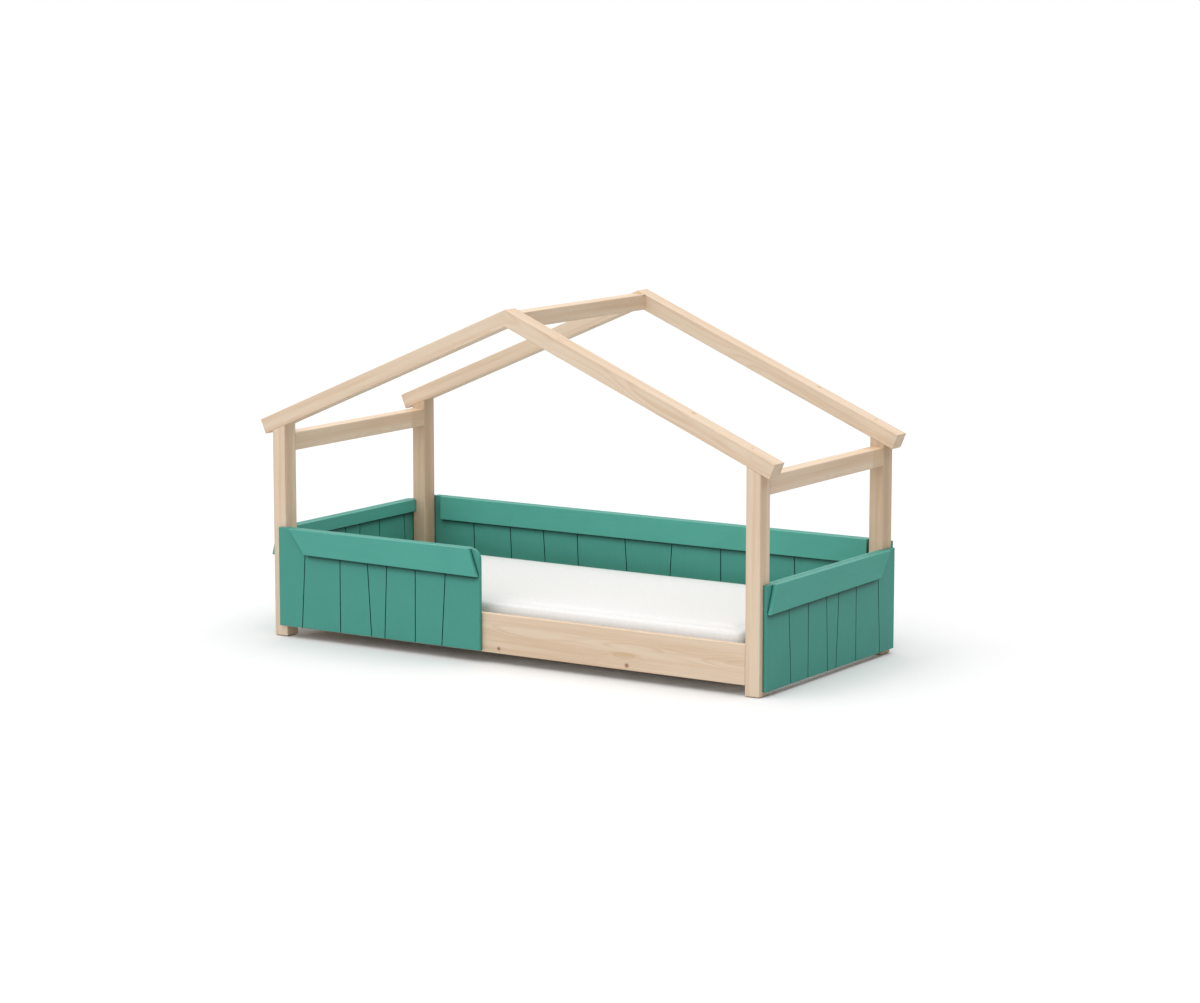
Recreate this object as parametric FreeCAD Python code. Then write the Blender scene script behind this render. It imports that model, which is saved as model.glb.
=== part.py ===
import FreeCAD, Part
import math
import os

Vec = FreeCAD.Vector

# House frame bed, in millimetres. The origin is on the floor under the middle of the frame.
# X runs along the bed, Y from the open front side to the back, and Z is up.

# Mattress, a standard size that the bed is made round
mattress_length = 2000.0
mattress_width = 900.0
mattress_height = 118.0  # to the top edge, below the crown
mattress_crown = 6.0
mattress_corner = 32.0  # corner radius in plan
mattress_inner_corner = 10.0  # least corner radius of the rings of the crown
mattress_roll = 34.0  # radius of its rounded top and bottom edges
mattress_waist = 3.0  # how far each side draws in between its corners
mattress_lift = 0.3  # room over the slats
mattress_end_gap = 40.0  # to the posts
mattress_side_gap = 25.0  # to the side rails
crown_rings = ((0.22, 0.7), (0.4, 1.0))  # inset as a share of the width, rise as a share of the crown

# Frame timbers
post_width = 60.0  # along X
post_depth = 70.0  # along Y, and the rafters are as thick
eaves_height = 813.0  # floor to the underside of the roof at the outside of a post
roof_pitch = 23.0  # degrees
rafter_depth = 60.0  # square to the slope
rafter_overhang = 37.0  # along the slope, from the outside of a post
ridge_width = 70.0
ridge_height = 60.0
eaves_rail_height = 70.0
eaves_rail_drop = 10.5  # top of the rail below the roof's underside at the outside of a post
timber_ease = 3.0  # rounding of the long edges of planed timber
foot_ease = 2.0

# Bed frame and slats
rail_height = 150.0
rail_thickness = 25.0
rail_clearance = 41.5  # floor to the underside of the rails
ledger_height = 30.0
ledger_thickness = 30.0
ledger_inset = 5.0  # each end of a ledger short of its post
ledger_rise = 18.5  # underside of the ledger above the underside of the rail
slat_count = 14
slat_width = 80.0
slat_thickness = 18.0
slat_ease = 2.0
slat_end_gap = 5.0  # end of a slat to the side rail
strap_width = 25.0
strap_thickness = 1.2
strap_inset = 170.0  # centre of a strap to the inside of the side rail

# Guard panels and their trim boards
panel_height = 390.0
panel_thickness = 16.0
panel_ease = 1.5
panel_corner = 42.0  # rounded top corner of the front panel
trim_thickness = 16.0
trim_ease = 2.5
trim_tall = 106.0  # height at the tall end of an outer trim
trim_short = 97.0  # and at its other end
trim_tall_tip = 3.0  # tall end: panel's edge to the trim's lower corner
trim_tall_shoulder = 41.0  # and to its upper corner
trim_short_tip = 134.0  # other end: panel's edge to the trim's lower corner
trim_short_shoulder = 61.0
batten_height = 50.0  # inner trim of the front and end panels
batten_gap = 0.5  # each end of it to the posts
batten_free_end = 16.0  # front panel's rounded end to the lower corner of its inner trim
rear_batten_height = 95.5
rear_batten_gap = 38.0

front_panel_bottom = 46.5
rear_panel_bottom = 43.5
left_panel_bottom = 32.5
right_panel_bottom = 20.0
front_panel_inset = 35.0  # outside of the left post to the panel's edge
front_panel_length = 956.0
end_panel_inset = 23.0  # front of the front post to the panel's edge

# Plank lines, milled in both faces: place under the trim and at the bottom edge, as shares of
# the panel's length from its tall-trim end. They lean a little, each its own way.
line_width = 4.0
line_depth = 4.5
line_overlap = 20.0  # how far a line runs on under its trim
cut_past = 1.0  # how far a cutter stands out of the wood
plank_lines = (
    (0.165, 0.184), (0.312, 0.314), (0.453, 0.465), (0.549, 0.531), (0.687, 0.688), (0.865, 0.883),
)
rear_plank_lines = (
    (0.097, 0.102), (0.193, 0.185), (0.268, 0.272), (0.344, 0.343), (0.447, 0.455),
    (0.547, 0.538), (0.651, 0.646), (0.726, 0.717), (0.800, 0.794), (0.883, 0.878),
)

# Fittings
fit_gap = 0.15  # round a pin, bolt or screw in its hole
end_gap = 1.0  # beyond the end of a pin, bolt or screw
dowel_radius = 5.0
dowel_length = 60.0
top_dowel_length = 50.0
ridge_dowel_length = 40.0
dowel_spacing = 60.0  # between the two dowels of an end rail
eaves_dowel_spacing = 30.0
ridge_dowel_spacing = 36.0
top_dowel_offset = 20.0  # from the hanger bolt, away from the recess
stud_radius = 4.0
hanger_depth = 60.0  # wood thread of a hanger bolt in the post
stud_tail = 8.0  # stud past the middle of its nut's recess
recess_radius = 13.0
apex_recess_x = 52.0  # recess beside the mitre, from the middle of the roof
apex_stud_rise = 5.0  # above the middle of the rafter, at that recess
nut_width = 16.0
nut_chord = 4.0  # flat side of the half-moon, from the middle of its recess
nut_flat = 13.0  # across the flats of the hexagon
nut_height = 6.5
bracket_leg = 40.0
bracket_height = 60.0
bracket_thickness = 2.5
bracket_bend = 2.0  # inside radius
bracket_lift = 10.0  # above the slats
bracket_hole_radius = 2.6
bracket_hole_inset = 16.0  # from the free edge of a leg
bracket_hole_spacing = 36.0
glide_height = 3.0
glide_radius = 16.0
glide_bevel = 1.0
glide_pin_radius = 1.5
glide_pin_length = 15.0
pin_flat_count = 12  # small round pieces and their holes are drawn with flats, to keep the mesh light
wide_flat_count = 24
same_place = 1e-4  # two points nearer than this are taken as one

# Sizes that follow from these
frame_length = mattress_length + 2 * (mattress_end_gap + post_width)  # outside of the posts, along X
frame_width = mattress_width + 2 * (mattress_side_gap + rail_thickness)  # and along Y
half_length = frame_length / 2
half_width = frame_width / 2
post_inner_x = half_length - post_width
post_inner_y = half_width - post_depth
post_centre_x = half_length - post_width / 2
post_centre_y = half_width - post_depth / 2
slope = math.radians(roof_pitch)
rafter_rise = rafter_depth / math.cos(slope)  # rafter measured upright
rail_top = rail_clearance + rail_height
rail_inner_x = half_length - rail_thickness
rail_inner_y = half_width - rail_thickness
ledger_bottom = rail_clearance + ledger_rise
ledger_top = ledger_bottom + ledger_height
slat_top = ledger_top + slat_thickness
mattress_bottom = slat_top + mattress_lift
eaves_rail_top = eaves_height - eaves_rail_drop
sides = (("left", -1), ("right", 1))
faces = (("front", -1), ("rear", 1))
holes = []  # what the fittings cut from every piece that they pass through


def roof_under(x):
    return eaves_height + (half_length - abs(x)) * math.tan(slope)


def box(x_ends, y_ends, z_ends):
    low = Vec(min(x_ends), min(y_ends), min(z_ends))
    high = Vec(max(x_ends), max(y_ends), max(z_ends))
    return Part.makeBox(high.x - low.x, high.y - low.y, high.z - low.z, low)


def prism(points, sweep):
    return Part.Face(Part.makePolygon(points + points[:1])).extrude(sweep)


def rod(start, direction, radius, length, flats=pin_flat_count):
    across = Vec(1, 0, 0) if abs(direction.y) > abs(direction.x) else Vec(0, 1, 0)
    upright = direction.cross(across)
    rim = []
    for step in range(flats):
        turn = 2 * math.pi * step / flats
        rim.append(start + across * (radius * math.cos(turn)) + upright * (radius * math.sin(turn)))
    return prism(rim, direction * length)


def edges_along(solid, direction):
    edges = []
    for edge in solid.Edges:
        run = edge.Vertexes[-1].Point - edge.Vertexes[0].Point
        if run.cross(direction).Length < same_place * run.Length:
            edges.append(edge)
    return edges


def rounded_along(solid, direction, radius):
    return solid.makeFillet(radius, edges_along(solid, direction))


def bored(solid):
    near = [hole for hole in holes if solid.BoundBox.intersect(hole.BoundBox)]
    if not near:
        return solid
    return solid.cut(near).Solids[0]


# ---- fittings: each returns its solid and adds the hole that it sits in ----


def dowel(middle, direction, length):
    start = middle - direction * (length / 2)
    holes.append(rod(start - direction * end_gap, direction, dowel_radius + fit_gap, length + 2 * end_gap))
    return rod(start, direction, dowel_radius, length)


def stud(start, direction, length, blind):
    # blind is the room left past the wood thread, none where both ends stand in recesses.
    holes.append(rod(start - direction * blind, direction, stud_radius + fit_gap, length + blind))
    return rod(start, direction, stud_radius, length)


def recess(x, z, y_face):
    depth = post_depth / 2 + nut_width / 2 + end_gap
    holes.append(rod(Vec(x, y_face, z), Vec(0, -1, 0), recess_radius, depth, wide_flat_count))


def half_moon_nut(middle, toward):
    # The round side seats on the recess's wall, on the side that the stud comes from.
    along = Vec(0, 1, 0)
    across = toward.cross(along)
    body = rod(middle - along * (nut_width / 2), along, recess_radius - fit_gap, nut_width, wide_flat_count)
    reach = recess_radius + end_gap
    corner = middle + toward * nut_chord - across * reach - along * reach
    far_side = [corner, corner + across * (2 * reach)]
    far_side += [point + along * (2 * reach) for point in reversed(far_side)]
    seat = body.common(prism(far_side, toward * reach))
    radius = nut_flat / math.sqrt(3)
    hexagon = []
    for step in range(6):
        turn = math.radians(60 * step)
        offset = across * (radius * math.cos(turn)) + along * (radius * math.sin(turn))
        hexagon.append(middle + toward * nut_chord + offset)
    nut = seat.fuse(prism(hexagon, toward * -nut_height))
    bore = rod(middle - toward * reach, toward, stud_radius + fit_gap, 2 * reach)
    return nut.cut(bore).Solids[0]


# ---- frame timbers ----


def post(sx, sy):
    x_out = sx * half_length
    x_in = sx * post_inner_x
    y_out = sy * half_width
    outline = [
        Vec(x_out, y_out, glide_height),
        Vec(x_out, y_out, eaves_height),
        Vec(x_in, y_out, roof_under(x_in)),
        Vec(x_in, y_out, glide_height),
    ]
    solid = rounded_along(prism(outline, Vec(0, -sy * post_depth, 0)), Vec(0, 0, 1), timber_ease)
    foot = [edge for edge in solid.Edges if edge.BoundBox.ZMax < glide_height + same_place]
    return solid.makeChamfer(foot_ease, foot)


def rafter(sx, sy):
    y_out = sy * half_width
    lower = Vec(
        sx * (half_length + rafter_overhang * math.cos(slope)),
        y_out,
        eaves_height - rafter_overhang * math.sin(slope),
    )
    square = Vec(sx * math.sin(slope), 0, math.cos(slope))
    inner_apex = Vec(0, y_out, roof_under(0))
    outline = [lower, lower + square * rafter_depth, inner_apex + Vec(0, 0, rafter_rise), inner_apex]
    along = Vec(sx * math.cos(slope), 0, -math.sin(slope))
    return rounded_along(prism(outline, Vec(0, -sy * post_depth, 0)), along, timber_ease)


def ridge_beam():
    # The upper edges lie in the roof's slopes.
    top = roof_under(0) + rafter_rise - ridge_width / 2 * math.tan(slope)
    x_ends = (-ridge_width / 2, ridge_width / 2)
    y_ends = (-post_inner_y, post_inner_y)
    beam = box(x_ends, y_ends, (top - ridge_height, top))
    return rounded_along(beam, Vec(0, 1, 0), timber_ease)


def eaves_rail(sx):
    x_ends = (sx * post_inner_x, sx * half_length)
    z_ends = (eaves_rail_top - eaves_rail_height, eaves_rail_top)
    return rounded_along(box(x_ends, (-post_inner_y, post_inner_y), z_ends), Vec(0, 1, 0), timber_ease)


def side_rail(sy):
    y_ends = (sy * rail_inner_y, sy * half_width)
    solid = box((-post_inner_x, post_inner_x), y_ends, (rail_clearance, rail_top))
    return rounded_along(solid, Vec(1, 0, 0), timber_ease)


def end_rail(sx):
    x_ends = (sx * rail_inner_x, sx * half_length)
    solid = box(x_ends, (-post_inner_y, post_inner_y), (rail_clearance, rail_top))
    return rounded_along(solid, Vec(0, 1, 0), timber_ease)


def ledger(sy):
    x_end = post_inner_x - ledger_inset
    y_ends = (sy * rail_inner_y, sy * (rail_inner_y - ledger_thickness))
    return box((-x_end, x_end), y_ends, (ledger_bottom, ledger_top))


def slat_centre(index):
    # The end slats lie under the ends of the mattress.
    span = mattress_length - slat_width
    return -span / 2 + span * index / (slat_count - 1)


def slat(index):
    x = slat_centre(index)
    y_end = rail_inner_y - slat_end_gap
    solid = box((x - slat_width / 2, x + slat_width / 2), (-y_end, y_end), (ledger_top, slat_top))
    return solid.makeChamfer(slat_ease, edges_along(solid, Vec(0, 1, 0)))


def slat_strap(sy):
    y = sy * (rail_inner_y - strap_inset)
    x_end = mattress_length / 2
    y_ends = (y - strap_width / 2, y + strap_width / 2)
    return box((-x_end, x_end), y_ends, (ledger_top - strap_thickness, ledger_top))


# ---- guard panels ----


class Guard:
    # A panel's own frame: u runs along it from its tall-trim end, t outwards from the face that
    # lies on the posts, and z is the bed's own height.
    def __init__(self, corner, along, outward, length, bottom):
        self.corner = corner
        self.along = along
        self.outward = outward
        self.length = length
        self.bottom = bottom
        self.top = bottom + panel_height

    def at(self, u, t, z):
        return self.corner + self.along * u + self.outward * t + Vec(0, 0, z)

    def board(self, outline, t_low, t_high):
        points = [self.at(u, t_low, z) for u, z in outline]
        return prism(points, self.outward * (t_high - t_low))

    def face_edges(self, solid, t):
        edges = []
        for edge in solid.Edges:
            depths = [(vertex.Point - self.corner).dot(self.outward) for vertex in edge.Vertexes]
            if all(abs(depth - t) < same_place for depth in depths):
                edges.append(edge)
        return edges


def line_place(guard, line, z):
    # Along-panel place of a plank line at height z.
    upper, lower = line
    z_upper = guard.top - trim_tall
    share = lower + (upper - lower) * (z - guard.bottom) / (z_upper - guard.bottom)
    return share * guard.length


def plank_line(guard, line, t_low, t_high, z_high):
    z_low = guard.bottom - cut_past
    half = line_width / 2
    u_low = line_place(guard, line, z_low)
    u_high = line_place(guard, line, z_high)
    outline = [
        (u_low - half, z_low), (u_low + half, z_low), (u_high + half, z_high), (u_high - half, z_high),
    ]
    return guard.board(outline, t_low, t_high)


def panel(guard, lines, inner_trim_height, corner_radius):
    outline = [
        (0, guard.bottom), (guard.length, guard.bottom), (guard.length, guard.top), (0, guard.top),
    ]
    solid = guard.board(outline, 0, panel_thickness)
    if corner_radius > 0:
        upper_corner = guard.at(0, 0, guard.top)
        for edge in edges_along(solid, guard.outward):
            if (edge.Vertexes[0].Point - upper_corner).cross(guard.outward).Length < same_place:
                rounded = edge
        solid = solid.makeFillet(corner_radius, [rounded])
    for t in (0, panel_thickness):
        solid = solid.makeChamfer(panel_ease, guard.face_edges(solid, t))
    cuts = []
    for line in lines:
        outer_end = guard.top - trim_short + line_overlap
        inner_end = guard.top - inner_trim_height + line_overlap
        cuts.append(
            plank_line(guard, line, panel_thickness - line_depth, panel_thickness + cut_past, outer_end)
        )
        cuts.append(plank_line(guard, line, -cut_past, line_depth, inner_end))
    return solid.cut(cuts).Solids[0]


def outer_trim(guard):
    outline = [
        (trim_tall_tip, guard.top - trim_tall),
        (guard.length - trim_short_tip, guard.top - trim_short),
        (guard.length - trim_short_shoulder, guard.top),
        (trim_tall_shoulder, guard.top),
    ]
    t_high = panel_thickness + trim_thickness
    solid = guard.board(outline, panel_thickness, t_high)
    return solid.makeFillet(trim_ease, guard.face_edges(solid, t_high))


def batten(guard, u_low, u_high, height, slant):
    # An inner trim. slant leans its low end as the outer trim's tall end leans.
    outline = [
        (u_low, guard.top - height), (u_high, guard.top - height),
        (u_high, guard.top), (u_low + slant, guard.top),
    ]
    solid = guard.board(outline, -trim_thickness, 0)
    return solid.makeFillet(trim_ease, guard.face_edges(solid, -trim_thickness))


# ---- mattress ----


def mattress_outline(inset, z):
    # Rounded corners joined by sides that draw in slightly towards their middles.
    x = mattress_length / 2 - inset
    y = mattress_width / 2 - inset
    r = max(mattress_corner - inset / 2, mattress_inner_corner)
    corner = r * (1 - math.sqrt(0.5))
    edges = []
    for sx, sy in ((1, 1), (-1, 1), (-1, -1), (1, -1)):
        on_x_side = Vec(sx * x, sy * (y - r), z)
        on_y_side = Vec(sx * (x - r), sy * y, z)
        middle = Vec(sx * (x - corner), sy * (y - corner), z)
        if sx * sy > 0:
            edges.append(Part.Arc(on_x_side, middle, on_y_side).toShape())
            waist = Vec(0, sy * (y - mattress_waist), z)
            edges.append(Part.Arc(on_y_side, waist, Vec(-on_y_side.x, on_y_side.y, z)).toShape())
        else:
            edges.append(Part.Arc(on_y_side, middle, on_x_side).toShape())
            waist = Vec(sx * (x - mattress_waist), 0, z)
            edges.append(Part.Arc(on_x_side, waist, Vec(on_x_side.x, -on_x_side.y, z)).toShape())
    return Part.Wire(edges)


def mattress():
    # Bottom roll, upright side, top roll, then the shallow crown.
    low = mattress_bottom
    top = low + mattress_height
    rings = []
    for degrees in (0, 45, 90):
        inset = mattress_roll * (1 - math.sin(math.radians(degrees)))
        rise = mattress_roll * (1 - math.cos(math.radians(degrees)))
        rings.append((inset, low + rise))
    for degrees in (0, 30, 60, 90):
        inset = mattress_roll * (1 - math.cos(math.radians(degrees)))
        drop = mattress_roll * (1 - math.sin(math.radians(degrees)))
        rings.append((inset, top - drop))
    for inset_share, rise_share in crown_rings:
        rings.append((mattress_width * inset_share, top + mattress_crown * rise_share))
    return Part.makeLoft([mattress_outline(inset, z) for inset, z in rings], True, True)


# ---- brackets, glides and groups of fittings ----


def bracket(sx, sy):
    x = sx * post_inner_x
    y = sy * rail_inner_y
    z_low = slat_top + bracket_lift
    z_ends = (z_low, z_low + bracket_height)
    on_rail = box((x, x - sx * bracket_leg), (y, y - sy * bracket_thickness), z_ends)
    on_post = box((x, x - sx * bracket_thickness), (y, y - sy * bracket_leg), z_ends)
    solid = on_rail.fuse(on_post).removeSplitter()
    bend = (
        (x - sx * bracket_thickness, y - sy * bracket_thickness, bracket_bend),
        (x, y, bracket_bend + bracket_thickness),
    )
    for bend_x, bend_y, radius in bend:
        for edge in edges_along(solid, Vec(0, 0, 1)):
            foot = edge.Vertexes[0].Point
            if math.hypot(foot.x - bend_x, foot.y - bend_y) < same_place:
                rounded = edge
        solid = solid.makeFillet(radius, [rounded])
    hole_x = x - sx * (bracket_leg - bracket_hole_inset)
    hole_y = y - sy * (bracket_leg - bracket_hole_inset)
    for step in (-0.5, 0.5):
        z = z_low + bracket_height / 2 + step * bracket_hole_spacing
        depth = bracket_thickness + 2 * cut_past
        on_rail = rod(Vec(hole_x, y + sy * cut_past, z), Vec(0, -sy, 0), bracket_hole_radius, depth)
        on_post = rod(Vec(x + sx * cut_past, hole_y, z), Vec(-sx, 0, 0), bracket_hole_radius, depth)
        solid = solid.cut([on_rail, on_post])
    return solid.Solids[0]


def glide(sx, sy):
    foot = Vec(sx * post_centre_x, sy * post_centre_y, 0)
    up = Vec(0, 0, 1)
    pin_foot = foot + up * glide_height
    holes.append(rod(pin_foot, up, glide_pin_radius + fit_gap, glide_pin_length + end_gap))
    disc = rod(foot, up, glide_radius, glide_height, wide_flat_count)
    rim = [edge for edge in disc.Edges if edge.BoundBox.ZMax < foot.z + same_place]
    return disc.makeChamfer(glide_bevel, rim).fuse(rod(pin_foot, up, glide_pin_radius, glide_pin_length))


def rail_dowels():
    pins = []
    z_middle = rail_clearance + rail_height / 2
    eaves_z = eaves_rail_top - eaves_rail_height / 2
    for _, sx in sides:
        for _, sy in faces:
            for step in (-0.5, 0.5):
                x = sx * (half_length - rail_thickness / 2)
                z = z_middle + step * dowel_spacing
                pins.append(dowel(Vec(x, sy * post_inner_y, z), Vec(0, 1, 0), dowel_length))
                x = sx * post_centre_x + step * eaves_dowel_spacing
                pins.append(dowel(Vec(x, sy * post_inner_y, eaves_z), Vec(0, 1, 0), dowel_length))
    return pins


def roof_dowels():
    pins = []
    ridge_z = roof_under(0) + rafter_rise - ridge_width / 2 * math.tan(slope) - ridge_height / 2
    for _, sy in faces:
        for step in (-0.5, 0.5):
            middle = Vec(step * ridge_dowel_spacing, sy * post_inner_y, ridge_z)
            pins.append(dowel(middle, Vec(0, 1, 0), ridge_dowel_length))
        for _, sx in sides:
            y = sy * post_centre_y - top_dowel_offset
            middle = Vec(sx * post_centre_x, y, roof_under(post_centre_x))
            pins.append(dowel(middle, Vec(0, 0, 1), top_dowel_length))
    return pins


def roof_bolts():
    # Hanger bolts stand in the post tops, and a stud crosses each mitre. Each rafter is bored from
    # its back face, so the recesses don't show from the front.
    bolts = []
    studs = []
    nuts = []
    top_z = roof_under(post_centre_x) + rafter_rise / 2
    apex_z = roof_under(apex_recess_x) + rafter_rise / 2 + apex_stud_rise
    for _, sy in faces:
        y = sy * post_centre_y
        y_back = y + post_depth / 2
        for _, sx in sides:
            x = sx * post_centre_x
            start = roof_under(post_centre_x) - hanger_depth
            bolts.append(stud(Vec(x, y, start), Vec(0, 0, 1), top_z + stud_tail - start, end_gap))
            recess(x, top_z, y_back)
            nuts.append(half_moon_nut(Vec(x, y, top_z), Vec(0, 0, -1)))
            recess(sx * apex_recess_x, apex_z, y_back)
            nuts.append(half_moon_nut(Vec(sx * apex_recess_x, y, apex_z), Vec(-sx, 0, 0)))
        reach = apex_recess_x + stud_tail
        studs.append(stud(Vec(-reach, y, apex_z), Vec(1, 0, 0), 2 * reach, 0))
    return bolts, studs, nuts


front_guard = Guard(
    Vec(-half_length + front_panel_inset + front_panel_length, -half_width, 0),
    Vec(-1, 0, 0), Vec(0, -1, 0), front_panel_length, front_panel_bottom,
)
rear_guard = Guard(
    Vec(half_length, half_width, 0), Vec(-1, 0, 0), Vec(0, 1, 0), frame_length, rear_panel_bottom
)
end_guards = {}
for name, sx in sides:
    end_guards[name] = Guard(
        Vec(sx * half_length, -half_width + end_panel_inset, 0),
        Vec(0, 1, 0), Vec(sx, 0, 0), frame_width - end_panel_inset,
        left_panel_bottom if sx < 0 else right_panel_bottom,
    )

pieces = {}

# Fittings come first, because they say where the wood is bored.
pieces["rail_dowels"] = rail_dowels()
pieces["roof_dowels"] = roof_dowels()
pieces["hanger_bolts"], pieces["apex_studs"], pieces["half_moon_nuts"] = roof_bolts()
pieces["foot_glides"] = [glide(sx, sy) for _, sx in sides for _, sy in faces]

for side, sx in sides:
    for face, sy in faces:
        pieces[f"post_{face}_{side}"] = bored(post(sx, sy))
        pieces[f"rafter_{face}_{side}"] = bored(rafter(sx, sy))
    pieces[f"eaves_rail_{side}"] = bored(eaves_rail(sx))
    pieces[f"end_rail_{side}"] = bored(end_rail(sx))
for face, sy in faces:
    pieces[f"side_rail_{face}"] = bored(side_rail(sy))
    pieces[f"ledger_{face}"] = ledger(sy)
    pieces[f"slat_strap_{face}"] = slat_strap(sy)
pieces["ridge_beam"] = bored(ridge_beam())
pieces["corner_brackets"] = [bracket(sx, sy) for _, sx in sides for _, sy in faces]
for index in range(slat_count):
    pieces[f"slat_{index + 1:02d}"] = slat(index)

pieces["front_panel"] = panel(front_guard, plank_lines, batten_height, panel_corner)
pieces["front_trim_outer"] = outer_trim(front_guard)
front_post_edge = front_panel_length - (post_width - front_panel_inset)
front_slant = trim_tall_shoulder - trim_tall_tip
pieces["front_trim_inner"] = batten(
    front_guard, batten_free_end, front_post_edge - batten_gap, batten_height, front_slant
)
pieces["rear_panel"] = panel(rear_guard, rear_plank_lines, rear_batten_height, 0)
pieces["rear_trim_outer"] = outer_trim(rear_guard)
rear_batten_end = post_width + rear_batten_gap
pieces["rear_trim_inner"] = batten(
    rear_guard, rear_batten_end, frame_length - rear_batten_end, rear_batten_height, 0
)
for side, guard in end_guards.items():
    pieces[f"{side}_panel"] = panel(guard, plank_lines, batten_height, 0)
    pieces[f"{side}_trim_outer"] = outer_trim(guard)
    low = post_depth - end_panel_inset + batten_gap
    high = guard.length - post_depth - batten_gap
    pieces[f"{side}_trim_inner"] = batten(guard, low, high, batten_height, 0)
pieces["mattress"] = mattress()

os.makedirs("parts", exist_ok=True)
for name, shape in pieces.items():
    if isinstance(shape, list):
        shape = Part.makeCompound(shape)
    shape.exportStep(f"parts/{name}.step")
print(len(pieces), "pieces")
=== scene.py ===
import bpy
import bmesh
import math
import random
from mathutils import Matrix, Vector


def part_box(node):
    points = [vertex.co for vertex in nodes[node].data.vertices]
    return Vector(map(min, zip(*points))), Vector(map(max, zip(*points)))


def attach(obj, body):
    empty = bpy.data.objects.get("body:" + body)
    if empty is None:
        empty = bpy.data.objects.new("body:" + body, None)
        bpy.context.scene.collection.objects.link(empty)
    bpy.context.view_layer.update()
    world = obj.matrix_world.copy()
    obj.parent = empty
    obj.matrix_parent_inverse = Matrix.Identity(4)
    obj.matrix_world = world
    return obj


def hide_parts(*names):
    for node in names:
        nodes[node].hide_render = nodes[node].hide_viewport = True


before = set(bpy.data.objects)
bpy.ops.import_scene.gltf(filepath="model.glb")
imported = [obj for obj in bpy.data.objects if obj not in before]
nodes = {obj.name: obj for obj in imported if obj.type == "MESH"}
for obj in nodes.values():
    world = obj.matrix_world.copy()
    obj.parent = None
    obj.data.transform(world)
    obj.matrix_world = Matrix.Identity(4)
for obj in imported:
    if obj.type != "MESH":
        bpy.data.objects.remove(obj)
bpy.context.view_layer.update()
scene = bpy.context.scene
print("frame loaded:", len(nodes), "nodes")


def linear(hexColour):  # sRGB hex to linear RGBA
    channels = []
    for place in (0, 2, 4):
        value = int(hexColour[place:place + 2], 16) / 255
        channels.append(value / 12.92 if value <= 0.04045 else ((value + 0.055) / 1.055) ** 2.4)
    return (*channels, 1.0)


def addNode(tree, kind, inputs=None, **settings):
    # inputs hold values, sockets to link, or nodes whose first output is linked
    node = tree.nodes.new(kind)
    for name, value in settings.items():
        setattr(node, name, value)
    for socket, value in (inputs or {}).items():
        if isinstance(value, bpy.types.Node):
            value = value.outputs[0]
        if isinstance(value, bpy.types.NodeSocket):
            tree.links.new(value, node.inputs[socket])
        else:
            node.inputs[socket].default_value = value
    return node


def limits(fromMin, fromMax, toMin=0.0, toMax=1.0):  # of a Map Range node
    return {"From Min": fromMin, "From Max": fromMax, "To Min": toMin, "To Max": toMax}


def openGroup(name, kind, sockets):  # sockets are (name, INPUT or OUTPUT, type)
    group = bpy.data.node_groups.new(name, kind)
    for socket, way, content in sockets:
        group.interface.new_socket(socket, in_out=way, socket_type="NodeSocket" + content)
    return group, addNode(group, "NodeGroupInput").outputs


def newMaterial(name):
    material = bpy.data.materials.new(name)
    material.use_nodes = True
    material.node_tree.nodes.clear()
    return material, material.node_tree


def finishMaterial(tree, shader):
    addNode(tree, "ShaderNodeOutputMaterial", {"Surface": shader})


def paint(name, material):  # one material on a CAD node
    slots = nodes[name].data.materials
    slots.clear()
    slots.append(material)


def newObject(name, data):
    thing = bpy.data.objects.new(name, data)
    scene.collection.objects.link(thing)
    return thing


def replaceMesh(piece):  # the modifiers' result becomes the piece's own mesh
    depsgraph = bpy.context.evaluated_depsgraph_get()
    result = bpy.data.meshes.new_from_object(piece.evaluated_get(depsgraph))
    old = piece.data
    piece.modifiers.clear()
    piece.data = result
    bpy.data.meshes.remove(old)


def halfway(low, high, axis):
    return (low[axis] + high[axis]) / 2


# ---- timber: planed spruce, left bare, so it is pale and matte with soft growth rings ----

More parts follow.
